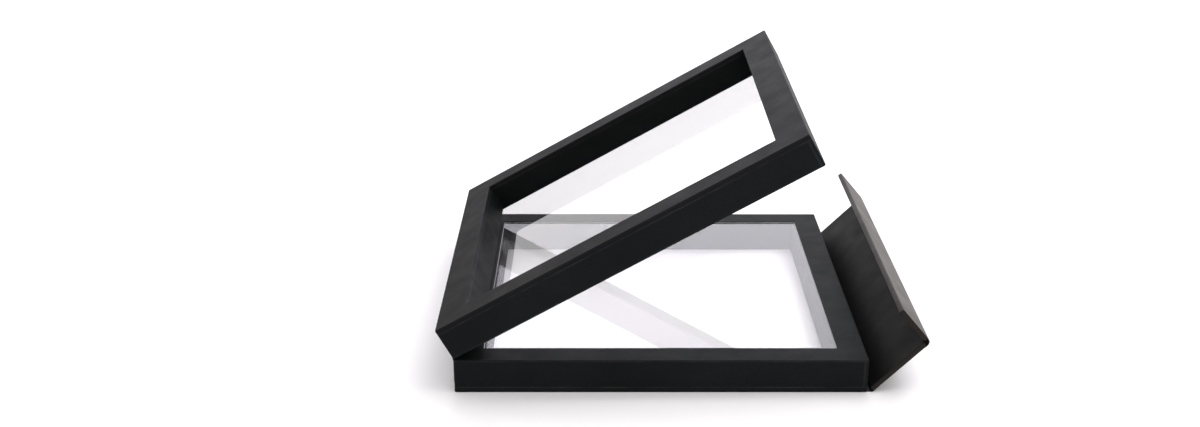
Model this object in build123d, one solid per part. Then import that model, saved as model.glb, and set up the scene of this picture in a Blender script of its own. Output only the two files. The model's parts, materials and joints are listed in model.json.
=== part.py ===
from build123d import *
from math import cos, radians, sin, tan
import os

# Floating display frame: two square half frames joined like a book along the left side.
# Each half holds a clear stretch film at the seam, so a small object hangs between the films.
# A two-panel flap, hinged under the right side, folds over the lid and holds it by magnets.
#
# Every piece is drawn with the frame shut, and with the flap lying flat beside it.
# Then the lid and the two flap panels are turned to the angles where they rest.
# X runs from the hinge side to the flap side, Y from front to back, Z up from the table.
# The origin is on the table, under the middle of the open frame.

# Overall sizes of the two halves
frame_width = 230.0
frame_depth = 230.0
base_height = 19.7
lid_height = 19.7
rail_width = 18.0
seam_gap = 0.3

# Layers of a half, from the outer board to the seam
board_thickness = 3.0
tape_thickness = 0.15
film_thickness = 0.2
facing_thickness = 0.8
paper_thickness = 0.3

# Film, its tape and the ledge round the opening
ledge_width = 2.4
film_edge_inset = 4.0
tape_width = 9.0

# Rounded edges of the boards and the paper
corner_radius = 1.0
board_edge_radius = 0.5
board_joint_radius = 0.2

# Butt joint of the outer paper, near the front right corner
paper_joint_inset = 2.2
paper_joint_gap = 0.15

# Spine strip that joins the lid to the base
spine_thickness = 0.3
spine_leaf_height = 14.0
spine_end_inset = 2.0

# Flap panels, their living hinges and the strip glued under the base
flap_skin = 0.4
flap_board = 2.4
flap_lining = 0.2
flap_clearance = 0.3
flap_top_reach = 25.8
flap_end_inset = 0.5
hinge_tab_gap = 0.5
hinge_board_gap = 1.0
strip_glue_width = 12.0
strip_end_inset = 3.0

# Magnets in the flap, and the steel discs that they meet in the lid
magnet_radius = 5.0
magnet_thickness = 1.5
disc_radius = 6.0
disc_thickness = 1.0
pocket_clearance = 0.1
magnet_count = 3
magnet_end_inset = 35.0

# Angles of the lid and the flap, shut and as the frame stands open
flap_shut_angle = 86.0
fold_shut_angle = 94.0
lid_rest_angle = 29.5
flap_rest_angle = 45.0
fold_rest_angle = 85.0

# Places that follow from the sizes above
middle_x = frame_width / 2
lid_bottom = base_height + seam_gap
lid_top = lid_bottom + lid_height
facing_width = rail_width - ledge_width
lining_inset = rail_width - paper_thickness
tape_inner_inset = film_edge_inset + tape_width
wood_radius = corner_radius - paper_thickness
cut_depth = 2 * rail_width
half_layers = board_thickness + tape_thickness + film_thickness + facing_thickness
spine_axis_x = -spine_thickness - seam_gap / 2
spine_axis_z = base_height + seam_gap / 2
flap_thickness = flap_skin + flap_board + flap_lining
flap_axis_z = flap_skin / 2
flap_inner_depth = flap_thickness - flap_axis_z
flap_axis_x = frame_width + flap_clearance + flap_inner_depth
fold_axis_rise = lid_top + flap_clearance + flap_inner_depth - flap_axis_z
flap_side_length = fold_axis_rise / sin(radians(flap_shut_angle))
fold_axis_x = flap_axis_x + flap_side_length
fold_board_gap = flap_inner_depth * tan(radians(fold_shut_angle / 2)) + flap_clearance
shut_fold_x = flap_axis_x + flap_side_length * cos(radians(flap_shut_angle))
magnet_row_x = frame_width - rail_width / 2
magnet_reach = shut_fold_x - magnet_row_x
magnet_span = frame_depth - 2 * magnet_end_inset


def block(bottom, height, inset=0.0, radius=0.0):
    """A flat block over the whole frame, inset all round, with rounded upright corners."""
    x_size = frame_width - 2 * inset
    y_size = frame_depth - 2 * inset
    outline = RectangleRounded(x_size, y_size, radius) if radius > 0 else Rectangle(x_size, y_size)
    return extrude(Pos(middle_x, 0, bottom) * outline, amount=height)


def ring(bottom, height, outer_inset, inner_inset, radius=0.0, inner_radius=0.0):
    """A square ring between two insets from the frame's outer faces."""
    return block(bottom, height, outer_inset, radius) - block(bottom, height, inner_inset, inner_radius)


def bar(x_low, x_high, y_inset, bottom, height):
    """A straight bar that runs from front to back."""
    y_size = frame_depth - 2 * y_inset
    corner = (Align.MIN, Align.CENTER, Align.MIN)
    return Pos(x_low, 0, bottom) * Box(x_high - x_low, y_size, height, align=corner)


def outer_edges(solid, level):
    """Edges at one level that go round the outside of a ring."""
    reach_x = frame_width / 2 - rail_width / 2
    reach_y = frame_depth / 2 - rail_width / 2
    level_edges = solid.edges().filter_by_position(Axis.Z, level - 0.01, level + 0.01)
    return [e for e in level_edges if is_outside(e.center(), reach_x, reach_y)]


def is_outside(point, reach_x, reach_y):
    return abs(point.X - middle_x) > reach_x or abs(point.Y) > reach_y


def window_edges(solid, level):
    """Edges at one level that go round a ring's window."""
    level_edges = solid.edges().filter_by_position(Axis.Z, level - 0.01, level + 0.01)
    outside = outer_edges(solid, level)
    return [e for e in level_edges if e not in outside]


def mitred_rails(bottom, height):
    """Four rails cut at 45 degrees, inside the outer paper and outside the inner lining."""
    wood = ring(bottom, height, paper_thickness, rail_width - paper_thickness, wood_radius)
    low_x, high_x = 0.0, frame_width
    low_y, high_y = -frame_depth / 2, frame_depth / 2
    corners = {
        "front": [(low_x, low_y), (high_x, low_y), (high_x - cut_depth, low_y + cut_depth),
                  (low_x + cut_depth, low_y + cut_depth)],
        "right": [(high_x, low_y), (high_x, high_y), (high_x - cut_depth, high_y - cut_depth),
                  (high_x - cut_depth, low_y + cut_depth)],
        "back": [(high_x, high_y), (low_x, high_y), (low_x + cut_depth, high_y - cut_depth),
                 (high_x - cut_depth, high_y - cut_depth)],
        "left": [(low_x, high_y), (low_x, low_y), (low_x + cut_depth, low_y + cut_depth),
                 (low_x + cut_depth, high_y - cut_depth)],
    }
    rails = {}
    for side, points in corners.items():
        wedge = extrude(Pos(0, 0, bottom) * make_face(Polyline(*points, close=True)), amount=height)
        rails[side] = wood & wedge
    return rails


def outer_board(bottom, outer_level, inner_level):
    """Cover or bottom board, with soft outer edges and a fine groove where it meets the paper."""
    board = ring(bottom, board_thickness, 0.0, rail_width, corner_radius)
    soft_edges = outer_edges(board, outer_level) + window_edges(board, outer_level)
    board = fillet(soft_edges, board_edge_radius)
    return fillet(outer_edges(board, inner_level), board_joint_radius)


def outer_paper(bottom, height):
    """Band of paper round the outside of a half, with its ends meeting near a corner."""
    band = ring(bottom, height, 0.0, paper_thickness, corner_radius, wood_radius)
    joint_x = frame_width - paper_joint_inset
    low = (Align.CENTER, Align.CENTER, Align.MIN)
    gap = Box(paper_joint_gap, 4 * paper_thickness, height, align=low)
    return band - Pos(joint_x, -frame_depth / 2, bottom) * gap


def facing_board(bottom):
    """Thin board over the film's border, with a wider window that leaves a ledge."""
    return ring(bottom, facing_thickness, paper_thickness, facing_width, wood_radius)


def magnet_places():
    step = magnet_span / (magnet_count - 1)
    return [-magnet_span / 2 + i * step for i in range(magnet_count)]


def row_of_discs(x, bottom, radius, height):
    """A row of upright discs, as separate solids."""
    low = (Align.CENTER, Align.CENTER, Align.MIN)
    return [Pos(x, y, bottom) * Cylinder(radius, height, align=low) for y in magnet_places()]


def cut_all(solid, tools):
    for tool in tools:
        solid = solid - tool
    return solid


def build_base():
    """Pieces of the half that stands on the table."""
    paper_bottom = board_thickness
    wood_height = base_height - half_layers
    wood_top = board_thickness + wood_height
    film_bottom = wood_top + tape_thickness
    facing_bottom = base_height - facing_thickness
    strip_low = frame_width - strip_glue_width
    strip_high = flap_axis_x - hinge_tab_gap
    strip_bed = bar(strip_low, frame_width + corner_radius, strip_end_inset, 0, flap_skin)
    rails = mitred_rails(board_thickness, wood_height)
    pieces = {f"base_{side}_rail": rail for side, rail in rails.items()}
    pieces["base_bottom_board"] = outer_board(0, 0, board_thickness) - strip_bed
    pieces["base_outer_paper"] = outer_paper(paper_bottom, base_height - paper_bottom)
    pieces["base_inner_lining"] = ring(paper_bottom, wood_height, lining_inset, rail_width)
    pieces["base_film_tape"] = ring(wood_top, tape_thickness, film_edge_inset, tape_inner_inset)
    pieces["base_film"] = block(film_bottom, film_thickness, film_edge_inset)
    pieces["base_facing_board"] = facing_board(facing_bottom)
    pieces["spine_base_leaf"] = bar(-spine_thickness, 0, spine_end_inset,
                                    base_height - spine_leaf_height, spine_leaf_height)
    pieces["flap_glue_strip"] = bar(strip_low, strip_high, strip_end_inset, 0, flap_skin)
    return pieces


def build_lid():
    """Pieces of the half that opens, a mirror of the base about the seam."""
    wood_height = lid_height - half_layers
    facing_top = lid_bottom + facing_thickness
    film_top = facing_top + film_thickness
    wood_bottom = film_top + tape_thickness
    wood_top = wood_bottom + wood_height
    rails = mitred_rails(wood_bottom, wood_height)
    pieces = {f"lid_{side}_rail": rail for side, rail in rails.items()}
    disc_bottom = wood_top - disc_thickness
    pocket_radius = disc_radius + pocket_clearance
    pockets = row_of_discs(magnet_row_x, disc_bottom, pocket_radius, disc_thickness)
    discs = row_of_discs(magnet_row_x, disc_bottom, disc_radius, disc_thickness)
    pieces["lid_right_rail"] = cut_all(pieces["lid_right_rail"], pockets)
    pieces["lid_steel_discs"] = Compound(children=discs)
    pieces["lid_cover_board"] = outer_board(wood_top, lid_top, wood_top)
    pieces["lid_outer_paper"] = outer_paper(lid_bottom, lid_height - board_thickness)
    pieces["lid_inner_lining"] = ring(wood_bottom, wood_height, lining_inset, rail_width)
    pieces["lid_film_tape"] = ring(film_top, tape_thickness, film_edge_inset, tape_inner_inset)
    pieces["lid_film"] = block(facing_top, film_thickness, film_edge_inset)
    pieces["lid_facing_board"] = facing_board(lid_bottom)
    pieces["spine_lid_leaf"] = bar(-spine_thickness, 0, spine_end_inset, lid_bottom, spine_leaf_height)
    return pieces


def cover_tray(skin_low, skin_high, bed_low, bed_high, rim_low, rim_high):
    """Flap cover: a thin skin whose edges turn up round the board."""
    skin = bar(skin_low, skin_high, flap_end_inset, 0, flap_skin)
    walls = bar(rim_low, rim_high, flap_end_inset, flap_skin, flap_board + flap_lining)
    bed = bar(bed_low, bed_high, flap_end_inset + flap_skin, flap_skin, flap_board + flap_lining)
    return skin + (walls - bed)


def build_flap_side():
    """Panel that stands beside the frame when it is shut."""
    low = flap_axis_x + hinge_board_gap
    high = fold_axis_x - fold_board_gap
    inset = flap_end_inset + flap_skin
    return {
        "flap_side_cover": cover_tray(
            flap_axis_x + hinge_tab_gap, fold_axis_x - hinge_tab_gap, low, high, low, high
        ),
        "flap_side_board": bar(low, high, inset, flap_skin, flap_board),
        "flap_side_lining": bar(low, high, inset, flap_skin + flap_board, flap_lining),
    }


def build_flap_top():
    """Panel that lies on the lid when the frame is shut, with the magnets in its board."""
    low = fold_axis_x + fold_board_gap
    end = fold_axis_x + flap_top_reach
    high = end - flap_skin
    inset = flap_end_inset + flap_skin
    board_top = flap_skin + flap_board
    magnet_x = fold_axis_x + magnet_reach
    magnet_bottom = board_top - magnet_thickness
    board = bar(low, high, inset, flap_skin, flap_board)
    pocket_radius = magnet_radius + pocket_clearance
    pockets = row_of_discs(magnet_x, magnet_bottom, pocket_radius, magnet_thickness)
    magnets = row_of_discs(magnet_x, magnet_bottom, magnet_radius, magnet_thickness)
    return {
        "flap_top_cover": cover_tray(fold_axis_x + hinge_tab_gap, end, low, high, low, end),
        "flap_top_board": cut_all(board, pockets),
        "flap_magnets": Compound(children=magnets),
        "flap_top_lining": bar(low, high, inset, board_top, flap_lining),
    }


def turn(pieces, x, z, angle):
    """Turn pieces upwards about a line that runs from front to back."""
    hinge_line = Axis((x, 0, z), (0, -1, 0))
    return {name: piece.rotate(hinge_line, angle) for name, piece in pieces.items()}


lid_pieces = turn(build_lid(), spine_axis_x, spine_axis_z, lid_rest_angle)
top_pieces = turn(build_flap_top(), fold_axis_x, flap_axis_z, fold_rest_angle)
flap_pieces = turn({**build_flap_side(), **top_pieces}, flap_axis_x, flap_axis_z, flap_rest_angle)
all_pieces = {**build_base(), **lid_pieces, **flap_pieces}

# The open frame is moved so that its middle stands over the origin
lowest_x = min(piece.bounding_box().min.X for piece in all_pieces.values())
highest_x = max(piece.bounding_box().max.X for piece in all_pieces.values())
shift_x = -(lowest_x + highest_x) / 2

os.makedirs("parts", exist_ok=True)
for name, piece in all_pieces.items():
    export_step(Pos(shift_x, 0, 0) * piece, f"parts/{name}.step")

# Places of the three hinge lines in the finished part
fold_rest_x = flap_axis_x + flap_side_length * cos(radians(flap_rest_angle))
fold_rest_z = flap_axis_z + flap_side_length * sin(radians(flap_rest_angle))
print(f"base runs from x {shift_x:.4f} to {shift_x + frame_width:.4f}")
print(f"lid hinge line at x {shift_x + spine_axis_x:.4f}, z {spine_axis_z:.4f}")
print(f"flap hinge line at x {shift_x + flap_axis_x:.4f}, z {flap_axis_z:.4f}")
print(f"flap fold line at x {shift_x + fold_rest_x:.4f}, z {fold_rest_z:.4f}")
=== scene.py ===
import json
from math import cos, pi, radians, sin, tan

import bmesh
import bpy
from mathutils import Matrix, Vector


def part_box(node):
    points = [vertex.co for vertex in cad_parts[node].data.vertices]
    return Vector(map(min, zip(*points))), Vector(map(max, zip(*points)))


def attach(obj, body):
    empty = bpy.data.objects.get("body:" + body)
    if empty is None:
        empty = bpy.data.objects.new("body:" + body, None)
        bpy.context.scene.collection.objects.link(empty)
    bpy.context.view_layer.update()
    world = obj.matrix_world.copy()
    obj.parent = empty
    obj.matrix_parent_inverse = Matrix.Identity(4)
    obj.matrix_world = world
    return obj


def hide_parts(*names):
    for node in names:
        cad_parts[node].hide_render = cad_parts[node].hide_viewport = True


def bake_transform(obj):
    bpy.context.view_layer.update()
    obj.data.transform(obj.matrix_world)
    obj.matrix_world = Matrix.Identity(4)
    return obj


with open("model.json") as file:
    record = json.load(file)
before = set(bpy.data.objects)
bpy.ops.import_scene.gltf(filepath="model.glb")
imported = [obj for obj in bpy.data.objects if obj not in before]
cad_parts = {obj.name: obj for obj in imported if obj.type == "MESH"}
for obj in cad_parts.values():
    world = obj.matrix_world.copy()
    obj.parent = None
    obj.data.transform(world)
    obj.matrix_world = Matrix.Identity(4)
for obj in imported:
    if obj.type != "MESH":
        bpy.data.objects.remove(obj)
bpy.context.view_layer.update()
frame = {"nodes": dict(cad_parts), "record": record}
MM = 0.001

# Papers of the two halves, the ledge at the film and the joint near the front right corner
paper = 0.3 * MM
ledge = 2.4 * MM
seam_edge_radius = 0.55 * MM
window_edge_radius = 0.3 * MM
paper_joint_inset = 2.2 * MM
paper_joint_half = 0.20 * MM
paper_joint_depth = 0.2 * MM
paper_joint_reach = 0.05 * MM

# Corners of the frame and edges of its boards
corner_radius = 1.0 * MM
inner_corner_radius = 0.3 * MM
board_edge_radius = 0.6 * MM
joint_edge_radius = 0.22 * MM

# Lining of the window and the glue line beside the film
lining_turn_in = 9.2 * MM
lining_edge_radius = 0.15 * MM
film_clearance = 0.01 * MM
bead_width = 0.42 * MM
bead_height = 0.7 * bead_width
bead_sunk = 0.02 * MM
bead_behind = 0.05 * MM
bead_top = 0.02 * MM
bead_top_radius = 0.12 * MM
bead_foot_radius = 0.1 * MM

# Panels of the flap
flap_thickness = 2.92 * MM
flap_depth_below_axis = 0.2 * MM
flap_reach = 25.8 * MM
flap_end_inset = 0.5 * MM
flap_end_edge = 0.6 * MM
fold_gap = 2.9 * MM
hinge_gap = 0.6 * MM
crisp_edge_radius = 0.12 * MM
inner_edge_radius = 0.55 * MM
free_edge_radius = 0.9 * MM

# Skins that bend across the flap's fold and its hinge
flap_skin = 0.4 * MM
skin_sunk = 0.03 * MM
fold_radius = 3.0 * MM
fold_overlap = 1.2 * MM
fold_end_inset = 0.55 * MM
hinge_radius = 2.5 * MM
hinge_reach = 2.5 * MM
hinge_end_inset = 0.6 * MM
bed_end_inset = 3.2 * MM
bed_clearance = 0.1 * MM

# Spine strip
spine_free = 1.3 * MM
spine_crown = 0.16 * MM
spine_end_inset = 2 * MM

# How finely curves are divided, and where shading splits
edge_steps = 4
corner_steps = 5
fold_steps = 12
hinge_steps = 10
spine_steps = 8
leaf_steps = 4
smooth_limit = radians(40)
weld_distance = 1e-7

# Places read from the CAD frame
joints = {j["name"]: j for j in frame["record"]["behaviour"]["joints"]}
base_low, base_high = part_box("base_bottom_board")
spine_axis = Vector(joints["lid_hinge"]["pos_m"])
flap_axis = Vector(joints["flap_hinge"]["pos_m"])
fold_axis = Vector(joints["flap_fold"]["pos_m"])
lid_angle = radians(-joints["lid_hinge"]["range_deg"][0])
side_angle = radians(-joints["flap_hinge"]["range_deg"][0])
fold_angle = radians(-joints["flap_fold"]["range_deg"][0])
left, right = base_low.x, base_high.x
front, back = base_low.y, base_high.y
middle = Vector(((left + right) / 2, (front + back) / 2, 0))
half_x, half_y = (right - left) / 2, (back - front) / 2
board_top = base_high.z
base_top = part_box("base_outer_paper")[1].z
film_low, film_high = (corner.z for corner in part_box("base_film"))
film_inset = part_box("base_film")[0].x - left
rail_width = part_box("base_inner_lining")[0].x - left + paper
rail_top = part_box("base_front_rail")[1].z
facing_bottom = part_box("base_facing_board")[0].z
facing_window = rail_width - ledge
side_length = (fold_axis - flap_axis).length


def arc_points(corner, before, after, radius, steps):
    """Points of a fillet at a corner between two neighbours, in a plane."""
    a = (Vector(before) - Vector(corner)).normalized()
    b = (Vector(after) - Vector(corner)).normalized()
    half = a.angle(b) / 2
    reach = radius / tan(half)
    centre = Vector(corner) + (a + b).normalized() * (radius / sin(half))
    start, end = Vector(corner) + a * reach, Vector(corner) + b * reach
    spoke_a, spoke_b = start - centre, end - centre
    sweep = spoke_a.angle(spoke_b)
    points = []
    for i in range(steps + 1):
        t = i / steps
        spoke = (spoke_a * sin((1 - t) * sweep) + spoke_b * sin(t * sweep)) / sin(sweep)
        points.append(centre + spoke)
    return points


def soft_outline(corners):
    """A closed outline from (x, y, radius) corners, with each radius as an arc."""
    points = []
    count = len(corners)
    for i, (x, y, radius) in enumerate(corners):
        before, after = corners[i - 1][:2], corners[(i + 1) % count][:2]
        if radius > 0:
            points += arc_points((x, y), before, after, radius, edge_steps)
        else:
            points.append(Vector((x, y)))
    return points


def join_loops(bm, lower, upper):
    """A band of four-sided faces between two closed loops of the same length."""
    count = len(lower)
    for j in range(count):
        k = (j + 1) % count
        bm.faces.new((lower[j], lower[k], upper[k], upper[j]))


def finish_mesh(name, bm, material, turn=None):
    """Closes a piece: outward normals, shading split at real edges, and its material."""
    bmesh.ops.remove_doubles(bm, verts=bm.verts, dist=weld_distance)
    bmesh.ops.recalc_face_normals(bm, faces=bm.faces)
    if turn is not None:
        bmesh.ops.transform(bm, matrix=turn, verts=bm.verts)
    for face in bm.faces:
        face.smooth = True
    for edge in bm.edges:
        if len(edge.link_faces) == 2:
            edge.smooth = edge.calc_face_angle(0) < smooth_limit
    mesh = bpy.data.meshes.new(name)
    bm.to_mesh(mesh)
    bm.free()
    piece = bpy.data.objects.new(name, mesh)
    bpy.context.scene.collection.objects.link(piece)
    mesh.materials.append(material)
    weighted = piece.modifiers.new("even_shading", "WEIGHTED_NORMAL")
    weighted.keep_sharp = True
    return piece


def ring_loop(inset, groove):
    """One loop round the frame at an inset: arcs at the corners, and a joint on the front side."""
    radius = max(corner_radius - inset, inner_corner_radius)
    hx, hy = half_x - inset, half_y - inset
    loop = []
    for sx, sy, start in ((1, -1, -90), (1, 1, 0), (-1, 1, 90), (-1, -1, 180)):
        cx, cy = sx * (hx - radius), sy * (hy - radius)
        for i in range(corner_steps + 1):
            a = radians(start + 90 * i / corner_steps)
            loop.append((cx + radius * cos(a), cy + radius * sin(a)))
    joint = half_x - paper_joint_inset - (inset if inset > corner_radius else 0.0)
    depth = paper_joint_depth if groove else 0.0
    loop.append((joint - paper_joint_half, -hy))
    loop.append((joint, -hy + depth))
    loop.append((joint + paper_joint_half, -hy))
    return loop


def ring_piece(name, outline, material, turn, paper_joint=False):
    """Sweeps a closed (inset, height) outline round the frame."""
    bm = bmesh.new()
    loops = []
    for inset, height in outline:
        points = ring_loop(inset, groove=paper_joint and inset < paper_joint_reach)
        loops.append([bm.verts.new((middle.x + x, middle.y + y, height)) for x, y in points])
    for lower, upper in zip(loops, loops[1:] + loops[:1]):
        join_loops(bm, lower, upper)
    return finish_mesh(name, bm, material, turn)


def mirrored(outline):
    """The outline of the same piece on the other side of the seam."""
    return [(d, 2 * spine_axis.z - z) for d, z in outline]


def turn_about(axis_point, angle):
    """Turn upwards about a line that runs from front to back."""
    here = Matrix.Translation(axis_point)
    return here @ Matrix.Rotation(-angle, 4, "Y") @ here.inverted()


lid_turn = turn_about(spine_axis, lid_angle)


def node_graph(name):
    """A new material with its main shader, and the place on the piece that its detail follows."""
    material = bpy.data.materials.new(name)
    material.use_nodes = True
    tree = material.node_tree
    tree.nodes.clear()
    output = tree.nodes.new("ShaderNodeOutputMaterial")
    shader = tree.nodes.new("ShaderNodeBsdfPrincipled")
    tree.links.new(shader.outputs[0], output.inputs["Surface"])
    where = tree.nodes.new("ShaderNodeTexCoord").outputs["Object"]
    return material, tree, shader, where


def noise(tree, source, scale, detail, roughness):
    """Cloudy noise, with its scale in waves per metre."""
    node = tree.nodes.new("ShaderNodeTexNoise")
    node.inputs["Scale"].default_value = scale
    node.inputs["Detail"].default_value = detail
    node.inputs["Roughness"].default_value = roughness
    tree.links.new(source, node.inputs["Vector"])
    return node.outputs["Fac"]


def grain_cells(tree, source, scale):
    """Distance from the middle of each cell of a leather grain."""
    node = tree.nodes.new("ShaderNodeTexVoronoi")
    node.feature = "SMOOTH_F1"
    node.inputs["Scale"].default_value = scale
    node.inputs["Smoothness"].default_value = 0.6
    tree.links.new(source, node.inputs["Vector"])
    return node.outputs["Distance"]


def ramp(tree, source, span, values=(0.0, 1.0)):
    """Carries a span of a value over to another span, and holds its ends beyond."""
    node = tree.nodes.new("ShaderNodeMapRange")
    node.inputs["From Min"].default_value, node.inputs["From Max"].default_value = span
    node.inputs["To Min"].default_value, node.inputs["To Max"].default_value = values
    tree.links.new(source, node.inputs["Value"])
    return node.outputs["Result"]


def mix_colour(tree, factor, first, second):
    """Mixes two colours, each a plain one or a socket."""
    node = tree.nodes.new("ShaderNodeMix")
    node.data_type = "RGBA"
    tree.links.new(factor, node.inputs[0])
    for socket, value in ((node.inputs[6], first), (node.inputs[7], second)):
        if isinstance(value, tuple):
            socket.default_value = (*value, 1.0)
        else:
            tree.links.new(value, socket)
    return node.outputs[2]


def bump(tree, height, strength, distance, previous=None):
    """Relief from a height, on top of an earlier relief if there is one."""
    node = tree.nodes.new("ShaderNodeBump")
    node.inputs["Strength"].default_value = strength
    node.inputs["Distance"].default_value = distance
    tree.links.new(height, node.inputs["Height"])
    if previous is not None:
        tree.links.new(previous, node.inputs["Normal"])
    return node.outputs["Normal"]


def edge_mask(tree, radius):
    """How far the rounded normal departs from the face's own: bright along edges."""
    bevel = tree.nodes.new("ShaderNodeBevel")
    bevel.samples = 6
    bevel.inputs["Radius"].default_value = radius
    place = tree.nodes.new("ShaderNodeNewGeometry")
    product = tree.nodes.new("ShaderNodeVectorMath")
    product.operation = "DOT_PRODUCT"
    tree.links.new(bevel.outputs[0], product.inputs[0])
    tree.links.new(place.outputs["Normal"], product.inputs[1])
    return ramp(tree, product.outputs["Value"], span=(0.998, 0.93))


def edge_wear_and_highlight(tree, cloudy):
    """Worn edges in patches, lightened partly as real wear and partly as a painted highlight."""
    worn_and_lit_edges = edge_mask(tree, radius=1.1 * MM)
    patchy = tree.nodes.new("ShaderNodeMath")
    patchy.operation = "MULTIPLY"
    tree.links.new(worn_and_lit_edges, patchy.inputs[0])
    tree.links.new(ramp(tree, cloudy, (0.38, 0.62), (0.15, 0.8)), patchy.inputs[1])
    return patchy.outputs[0]


def shade(colour, share):
    """A darker or lighter form of a colour."""
    return tuple(c * share for c in colour)


def satin_paper(name, colour, rub_and_highlight_colour, roughness, specular, grain=1100.0, grain_depth=0.09 * MM,
                sheen=0.0, sheen_colour=(1.0, 1.0, 1.0), tint=(1.0, 1.0, 1.0)):
    """Black covering paper with a fine leather grain, soft mottling and worn edges, lightened partly as wear
    and partly as a painted edge highlight.
    """
    material, tree, shader, where = node_graph(name)
    cells = grain_cells(tree, where, grain)
    fine = noise(tree, where, scale=grain * 2.3, detail=3.0, roughness=0.6)
    broad = noise(tree, where, scale=9.0, detail=3.0, roughness=0.55)
    cloudy = noise(tree, where, scale=55.0, detail=4.0, roughness=0.6)
    waves = noise(tree, where, scale=18.0, detail=1.0, roughness=0.4)
    mottled = mix_colour(tree, ramp(tree, broad, (0.35, 0.65)), shade(colour, 0.8), shade(colour, 1.35))
    pits = ramp(tree, cells, (0.1, 0.75), (0.0, 0.45))
    grained = mix_colour(tree, pits, mottled, shade(colour, 0.45))
    # Painted highlight: the lighter edge colour stands partly for wear and partly for light caught along the
    # edges.
    coloured = mix_colour(tree, edge_wear_and_highlight(tree, cloudy), grained, rub_and_highlight_colour)
    tree.links.new(coloured, shader.inputs["Base Color"])
    gloss = ramp(tree, cloudy, (0.3, 0.7), (roughness - 0.05, roughness + 0.06))
    tree.links.new(gloss, shader.inputs["Roughness"])
    shader.inputs["Specular IOR Level"].default_value = specular
    shader.inputs["Specular Tint"].default_value = (*tint, 1.0)
    if sheen > 0:
        shader.inputs["Sheen Weight"].default_value = sheen
        shader.inputs["Sheen Roughness"].default_value = 0.4
        shader.inputs["Sheen Tint"].default_value = (*sheen_colour, 1.0)
    relief = bump(tree, cells, strength=0.35, distance=grain_depth)
    relief = bump(tree, fine, strength=0.25, distance=grain_depth * 0.5, previous=relief)
    relief = bump(tree, waves, strength=0.05, distance=0.12 * MM, previous=relief)
    tree.links.new(relief, shader.inputs["Normal"])
    return material


def clear_film(name):
    """Stretch film: clear, with a mirror's gloss at a low angle and a faint unevenness."""
    material, tree, shader, where = node_graph(name)
    shader.inputs["Base Color"].default_value = (0.985, 0.98, 0.99, 1)
    shader.inputs["Transmission Weight"].default_value = 1.0
    shader.inputs["IOR"].default_value = 1.48
    haze = noise(tree, where, scale=30.0, detail=3.0, roughness=0.5)
    tree.links.new(ramp(tree, haze, (0.35, 0.65), (0.0, 0.012)), shader.inputs["Roughness"])
    open_to_light = tree.nodes.new("ShaderNodeBsdfTransparent")
    open_to_light.inputs["Color"].default_value = (0.95, 0.945, 0.955, 1)
    rays = tree.nodes.new("ShaderNodeLightPath")
    mixer = tree.nodes.new("ShaderNodeMixShader")
    output = shader.outputs[0].links[0].to_node
    tree.links.new(rays.outputs["Is Shadow Ray"], mixer.inputs[0])
    tree.links.new(shader.outputs[0], mixer.inputs[1])
    tree.links.new(open_to_light.outputs[0], mixer.inputs[2])
    tree.links.new(mixer.outputs[0], output.inputs["Surface"])
    return material


def glue_with_painted_highlight(name):
    """Glue line along the film's edge, pale grey as a painted highlight of the light caught along that edge.
    """
    material, tree, shader, where = node_graph(name)
    uneven = noise(tree, where, scale=420.0, detail=3.0, roughness=0.6)
    # Painted highlight: the pale grey stands in for the light caught along the film's edge.
    painted_highlight_grey = mix_colour(tree, ramp(tree, uneven, (0.35, 0.65)), (0.40, 0.39, 0.41), (0.55, 0.54, 0.57))
    tree.links.new(painted_highlight_grey, shader.inputs["Base Color"])
    tree.links.new(ramp(tree, uneven, (0.3, 0.7), (0.18, 0.34)), shader.inputs["Roughness"])
    relief = bump(tree, uneven, strength=0.3, distance=0.05 * MM)
    tree.links.new(relief, shader.inputs["Normal"])
    return material


def fibre_board(name):
    """Raw fibreboard, brown with short fibres; hidden under the paper."""
    material, tree, shader, where = node_graph(name)
    fibres = noise(tree, where, scale=700.0, detail=5.0, roughness=0.7)
    brown = mix_colour(tree, ramp(tree, fibres, (0.3, 0.7)), (0.30, 0.20, 0.12), (0.46, 0.34, 0.22))
    tree.links.new(brown, shader.inputs["Base Color"])
    shader.inputs["Roughness"].default_value = 0.85
    relief = bump(tree, fibres, strength=0.4, distance=0.05 * MM)
    tree.links.new(relief, shader.inputs["Normal"])
    return material


def plated_steel(name):
    """Nickel-plated steel of the magnets and discs, faintly brushed."""
    material, tree, shader, where = node_graph(name)
    brushed = noise(tree, where, scale=1400.0, detail=3.0, roughness=0.6)
    shader.inputs["Base Color"].default_value = (0.62, 0.62, 0.64, 1)
    shader.inputs["Metallic"].default_value = 1.0
    tree.links.new(ramp(tree, brushed, (0.3, 0.7), (0.22, 0.38)), shader.inputs["Roughness"])
    relief = bump(tree, brushed, strength=0.2, distance=0.02 * MM)
    tree.links.new(relief, shader.inputs["Normal"])
    return material


def floor_finish(name):
    """Pale glossy table top."""
    material, tree, shader, where = node_graph(name)
    cloud = noise(tree, where, scale=1.5, detail=2.0, roughness=0.5)
    pale = mix_colour(tree, cloud, (0.90, 0.885, 0.89), (0.92, 0.905, 0.91))
    tree.links.new(pale, shader.inputs["Base Color"])
    shader.inputs["Roughness"].default_value = 0.28
    shader.inputs["Specular IOR Level"].default_value = 0.35
    return material


# Each rub colour lightens edges partly as wear and partly as a painted highlight.
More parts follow.
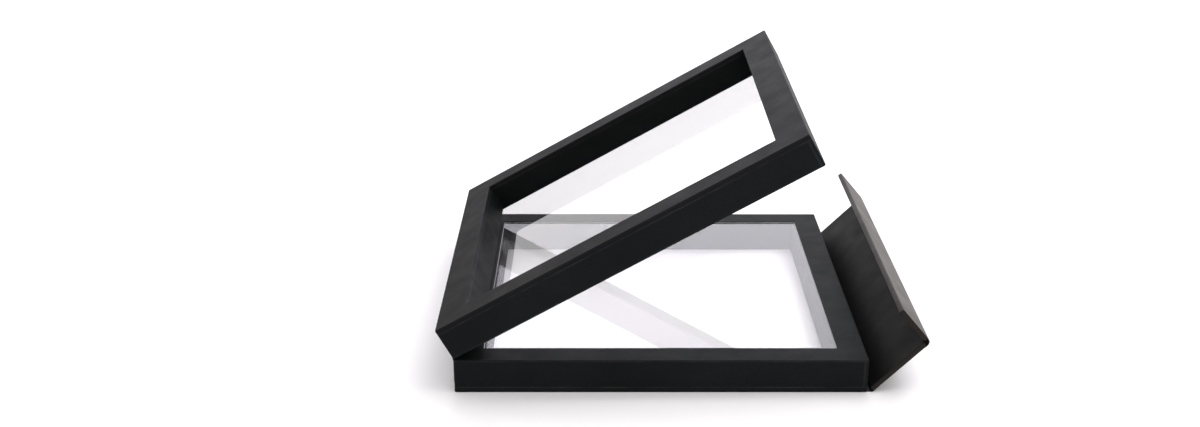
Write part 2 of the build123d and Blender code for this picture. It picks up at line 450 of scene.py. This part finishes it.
black_paper = satin_paper(
    "black_paper", colour=(0.0072, 0.0084, 0.0090), rub_and_highlight_colour=(0.030, 0.031, 0.033),
    roughness=0.50, specular=0.055
)
board_paper = satin_paper(
    "board_paper", colour=(0.0082, 0.0084, 0.0094), rub_and_highlight_colour=(0.032, 0.032, 0.034),
    roughness=0.50, specular=0.055
)
lining_paper = satin_paper(
    "lining_paper", colour=(0.0046, 0.0053, 0.0057), rub_and_highlight_colour=(0.014, 0.014, 0.015),
    roughness=0.58, specular=0.07
)
leatherette = satin_paper(
    "leatherette", colour=(0.0070, 0.0058, 0.0052), rub_and_highlight_colour=(0.012, 0.010, 0.009),
    roughness=0.46, specular=0.20, grain=650.0, grain_depth=0.36 * MM,
    sheen=0.07, sheen_colour=(1.0, 0.74, 0.60), tint=(1.0, 0.90, 0.83)
)
flap_lining = satin_paper(
    "flap_lining", colour=(0.0050, 0.0050, 0.0053), rub_and_highlight_colour=(0.013, 0.013, 0.013),
    roughness=0.52, specular=0.075
)
film = clear_film("clear_film")
glue = glue_with_painted_highlight("glue_painted_highlight")
fibreboard = fibre_board("fibreboard")
steel = plated_steel("plated_steel")


def node_finish(name):
    """The material of a CAD node, by its name."""
    if name.endswith("_film"):
        return film
    if "lining" in name and name.startswith("flap"):
        return flap_lining
    if "lining" in name or "tape" in name:
        return lining_paper
    if "rail" in name or name.endswith(("side_board", "top_board")):
        return fibreboard
    if "magnets" in name or "discs" in name:
        return steel
    if name.startswith("flap"):
        return leatherette
    return black_paper


def paint_nodes():
    """Gives every CAD node its material."""
    for name, node in frame["nodes"].items():
        node.data.materials.clear()
        node.data.materials.append(node_finish(name))


def wrap_outline():
    """Outer paper that turns over the facing board as far as its window."""
    return soft_outline([
        (0, board_top, 0), (0, base_top, seam_edge_radius), (facing_window, base_top, window_edge_radius),
        (facing_window, facing_bottom, 0), (paper, facing_bottom, 0), (paper, board_top, 0),
    ])


def board_outline():
    """Cover board, soft outside and at the window, with a groove at the paper."""
    return soft_outline([
        (0, 0, board_edge_radius), (rail_width, 0, board_edge_radius),
        (rail_width, board_top, 0), (0, board_top, joint_edge_radius),
    ])


def lining_outline():
    """Lining of the window's wall, turned over the rail as far as the tape."""
    lip = film_inset + lining_turn_in
    under_film = film_low - film_clearance
    return soft_outline([
        (rail_width - paper, board_top, 0), (rail_width, board_top, 0),
        (rail_width, under_film, lining_edge_radius), (lip, under_film, 0),
        (lip, rail_top, 0), (rail_width - paper, rail_top, 0),
    ])


def bead_outline():
    """Thin rounded bead of clear glue in the corner between the film and the facing's window."""
    behind, foot = facing_window - bead_behind, film_high - bead_sunk
    crest = film_high + bead_height
    return soft_outline([
        (behind, foot, 0), (behind, crest, 0), (facing_window + bead_top, crest, bead_top_radius),
        (facing_window + bead_width, foot, bead_foot_radius),
    ])


def halves():
    """The wrapped skins of the base and the lid."""
    for body, turn, shape in (("base", None, list), ("lid", lid_turn, mirrored)):
        wrap = ring_piece(f"{body}_wrap", shape(wrap_outline()), black_paper, turn, paper_joint=True)
        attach(wrap, body)
        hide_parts(f"{body}_outer_paper", f"{body}_facing_board")
        # The bead's pale glue colour is a painted highlight along the film's edge.
        bead = ring_piece(f"{body}_film_bead", shape(bead_outline()), glue, turn)
        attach(bead, body)
        lining = ring_piece(f"{body}_window_lining", shape(lining_outline()), lining_paper, turn)
        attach(lining, body)
        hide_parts(f"{body}_inner_lining")


def cover_board():
    """Board on top of the lid, soft outside and at the window."""
    board = ring_piece("lid_outer_board", mirrored(board_outline()), board_paper, lid_turn)
    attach(board, "lid")
    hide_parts("lid_cover_board")


def panel_frame(axis_point, angle):
    """Maps (along, above the outer face) of a flap panel to its place in the section at y = 0."""
    along = Vector((cos(angle), 0, sin(angle)))
    inward = Vector((-sin(angle), 0, cos(angle)))

    def place(s, h):
        return axis_point + along * s + inward * (h - flap_depth_below_axis)

    return place


def slab_rows():
    """From front to back, each row of a slab: its y, and how far its edges are drawn in."""
    y_low, y_high = front + flap_end_inset, back - flap_end_inset
    quarter = [pi / 2 * i / edge_steps for i in range(edge_steps + 1)]
    rows = [(y_low + flap_end_edge * (1 - cos(a)), flap_end_edge * (1 - sin(a))) for a in quarter]
    return rows + [(y_low + y_high - y, d) for y, d in reversed(rows)]


def slab_piece(name, place, low, high, outer_radii, material):
    """A wrapped board: a slab with soft edges all round, closed at its front and back ends."""
    outline = soft_outline([
        (low, 0, outer_radii[0]), (high, 0, outer_radii[1]),
        (high, flap_thickness, inner_edge_radius), (low, flap_thickness, inner_edge_radius),
    ])
    centre = sum(p.x for p in outline) / len(outline)
    bm = bmesh.new()
    loops = []
    for y, drawn_in in slab_rows():
        loop = []
        for p in outline:
            s = p.x + (drawn_in if p.x < centre else -drawn_in)
            h = p.y + drawn_in * (1 - 2 * p.y / flap_thickness)
            spot = place(s, h)
            loop.append(bm.verts.new((spot.x, y, spot.z)))
        loops.append(loop)
    for lower, upper in zip(loops, loops[1:]):
        join_loops(bm, lower, upper)
    bm.faces.new(loops[0])
    bm.faces.new(list(reversed(loops[-1])))
    return finish_mesh(name, bm, material)


def inner_path(path, thickness):
    """The other face of a strip, at its thickness from the outer path."""
    points = []
    for i, p in enumerate(path):
        direction = (path[min(i + 1, len(path) - 1)] - path[max(i - 1, 0)]).normalized()
        points.append(p + Vector((-direction.z, 0, direction.x)) * thickness)
    return points


def strip_rows(thickness):
    """From front to back, each row of a strip: its end, its reach inwards and its share of the thickness."""
    rounding = thickness * 0.4
    profile = [(0.0, 0.75), (rounding * 0.35, 0.93), (rounding, 1.0)]
    return [(-1, *level) for level in profile] + [(1, *level) for level in reversed(profile)]


def strip_piece(name, path, thickness, insets, material):
    """A thin bent strip that runs from front to back, with its own end inset at each point of the path."""
    inner = inner_path(path, thickness)
    centre = [(p + q) / 2 for p, q in zip(path, inner)]
    outline = list(zip(path + inner[::-1], centre + centre[::-1], insets + insets[::-1]))
    count = len(outline)
    bm = bmesh.new()
    rows = []
    for end, reach, share in strip_rows(thickness):
        row = []
        for p, c, inset in outline:
            spot = c + (p - c) * share
            row.append(bm.verts.new((spot.x, middle.y + end * (half_y - inset - reach), spot.z)))
        rows.append(row)
    for lower, upper in zip(rows, rows[1:]):
        join_loops(bm, lower, upper)
    for row in (rows[0], rows[-1]):
        for j in range(len(path) - 1):
            bm.faces.new((row[j], row[j + 1], row[count - 2 - j], row[count - 1 - j]))
    return finish_mesh(name, bm, material)


def bend_path(start, corner, end, radius, steps, straight_steps):
    """Outer path of a strip: straight, an arc at the corner, straight."""
    flat = [Vector((p.x, p.z)) for p in (start, corner, end)]
    arc = arc_points(flat[1], flat[0], flat[2], radius, steps)
    points = [flat[0].lerp(arc[0], i / straight_steps) for i in range(straight_steps)]
    points += arc
    points += [arc[-1].lerp(flat[2], (i + 1) / straight_steps) for i in range(straight_steps)]
    return [Vector((p.x, 0, p.y)) for p in points]


side_place = panel_frame(flap_axis, side_angle)
top_place = panel_frame(fold_axis, side_angle + fold_angle)


def flap_panels():
    """The flap's two wrapped boards."""
    side = slab_piece("flap_side_panel", side_place, hinge_gap, side_length - fold_gap,
                      (crisp_edge_radius, crisp_edge_radius), leatherette)
    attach(side, "flap_side")
    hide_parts("flap_side_cover")
    top = slab_piece("flap_top_panel", top_place, fold_gap, flap_reach,
                     (crisp_edge_radius, free_edge_radius), leatherette)
    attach(top, "flap_top")
    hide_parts("flap_top_cover")


def flap_fold():
    """Skin that bends between the two panels and laps over both."""
    miter = (flap_depth_below_axis - skin_sunk) * tan(fold_angle / 2)
    path = bend_path(
        side_place(side_length - fold_gap - fold_overlap, skin_sunk),
        side_place(side_length + miter, skin_sunk),
        top_place(fold_gap + fold_overlap, skin_sunk), fold_radius, fold_steps, straight_steps=2
    )
    fold = strip_piece("flap_fold_skin", path, flap_skin, [fold_end_inset] * len(path), leatherette)
    reach = fold_radius * tan(fold_angle / 2)
    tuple(side_place(side_length - reach, flap_depth_below_axis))
    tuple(top_place(reach, flap_depth_below_axis))
    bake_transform(fold)


def flap_hinge():
    """Skin that bends from its bed under the base to the side panel, wider once clear of the base."""
    start = Vector((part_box("flap_glue_strip")[0].x, 0, 0))
    corner = Vector((flap_axis.x + flap_depth_below_axis * tan(side_angle / 2), 0, 0))
    end = side_place(hinge_reach, skin_sunk)
    path = bend_path(start, corner, end, hinge_radius, hinge_steps, straight_steps=24)
    insets = [bed_end_inset if p.x < right + bed_clearance else hinge_end_inset for p in path]
    hinge = strip_piece("flap_hinge_skin", path, flap_skin, insets, leatherette)
    reach = hinge_radius * tan(side_angle / 2)
    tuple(side_place(reach, flap_depth_below_axis))
    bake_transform(hinge)
    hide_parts("flap_glue_strip")


def spine():
    """Paper spine on the left side: one strip that bends at the lid's hinge line."""
    leaf_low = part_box("spine_base_leaf")[0].z
    glued_height = base_top - leaf_low - spine_free
    lid_low = 2 * spine_axis.z - base_top + spine_free
    rises = [glued_height * i / leaf_steps for i in range(leaf_steps + 1)]
    base_part = [Vector((left - paper, 0, leaf_low + rise)) for rise in rises]
    lid_part = [lid_turn @ Vector((left - paper, 0, lid_low + rise)) for rise in rises]
    low, high = base_part[-1], lid_part[0]
    crown = Vector((min(low.x, high.x) + spine_crown, 0, (low.z + high.z) / 2))
    between = []
    for i in range(1, spine_steps):
        t = i / spine_steps
        between.append(low * (1 - t) ** 2 + crown * (2 * t * (1 - t)) + high * t ** 2)
    path = list(reversed(base_part + between + lid_part))
    strip = strip_piece("spine_paper", path, paper, [spine_end_inset] * len(path), black_paper)
    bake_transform(strip)
    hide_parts("spine_base_leaf", "spine_lid_leaf")


def floor():
    """Pale table top, just under the frame."""
    mesh = bpy.data.meshes.new("table_top")
    size, drop = 6.0, -0.03 * MM
    corners = [(-size, -size, drop), (size, -size, drop), (size, size, drop), (-size, size, drop)]
    mesh.from_pydata(corners, [], [(0, 1, 2, 3)])
    table = bpy.data.objects.new("table_top", mesh)
    bpy.context.scene.collection.objects.link(table)
    mesh.materials.append(floor_finish("table_finish"))


def area_light(name, place, target, size, radiance, colour=(1, 1, 1)):
    """A soft panel of light, given by its place, its aim, its size and how bright it looks."""
    light = bpy.data.lights.new(name, "AREA")
    light.shape = "RECTANGLE"
    light.size, light.size_y = size
    light.energy = pi * size[0] * size[1] * radiance
    light.color = colour
    lamp = bpy.data.objects.new(name, light)
    bpy.context.scene.collection.objects.link(lamp)
    lamp.location = place
    lamp.rotation_euler = (Vector(target) - Vector(place)).to_track_quat("-Z", "Y").to_euler()


def studio():
    """Soft white room: an even sky and two large panels."""
    world = bpy.data.worlds.new("studio")
    world.use_nodes = True
    sky = world.node_tree.nodes["Background"]
    sky.inputs["Color"].default_value = (1.0, 0.985, 0.99, 1)
    sky.inputs["Strength"].default_value = 1.0
    bpy.context.scene.world = world
    bpy.context.scene.view_settings.view_transform = "Standard"
    area_light("back_panel", place=(0.8, 1.7, 0.8), target=(0.8, 0, 0.1), size=(2.8, 1.5),
               radiance=0.95, colour=(0.89, 0.88, 1.0))
    area_light("top_panel", place=(0.4, 0.15, 1.1), target=(0, 0, 0), size=(1.1, 0.9), radiance=2.6)


def camera():
    """The photographed view: square to the front, a little left of the middle, about 21 degrees down."""
    from_left, before_front, height = 81 * MM, 749 * MM, 388 * MM
    downwards = 20.6
    view = bpy.data.cameras.new("view")
    view.sensor_width = 36
    view.lens = 45.1
    cam = bpy.data.objects.new("view", view)
    bpy.context.scene.collection.objects.link(cam)
    cam.location = (left + from_left, front - before_front, height)
    cam.rotation_euler = (radians(90 - downwards), 0, 0)
    bpy.context.scene.camera = cam


paint_nodes()
halves()
cover_board()
flap_panels()
flap_fold()
flap_hinge()
spine()
floor()
studio()
camera()
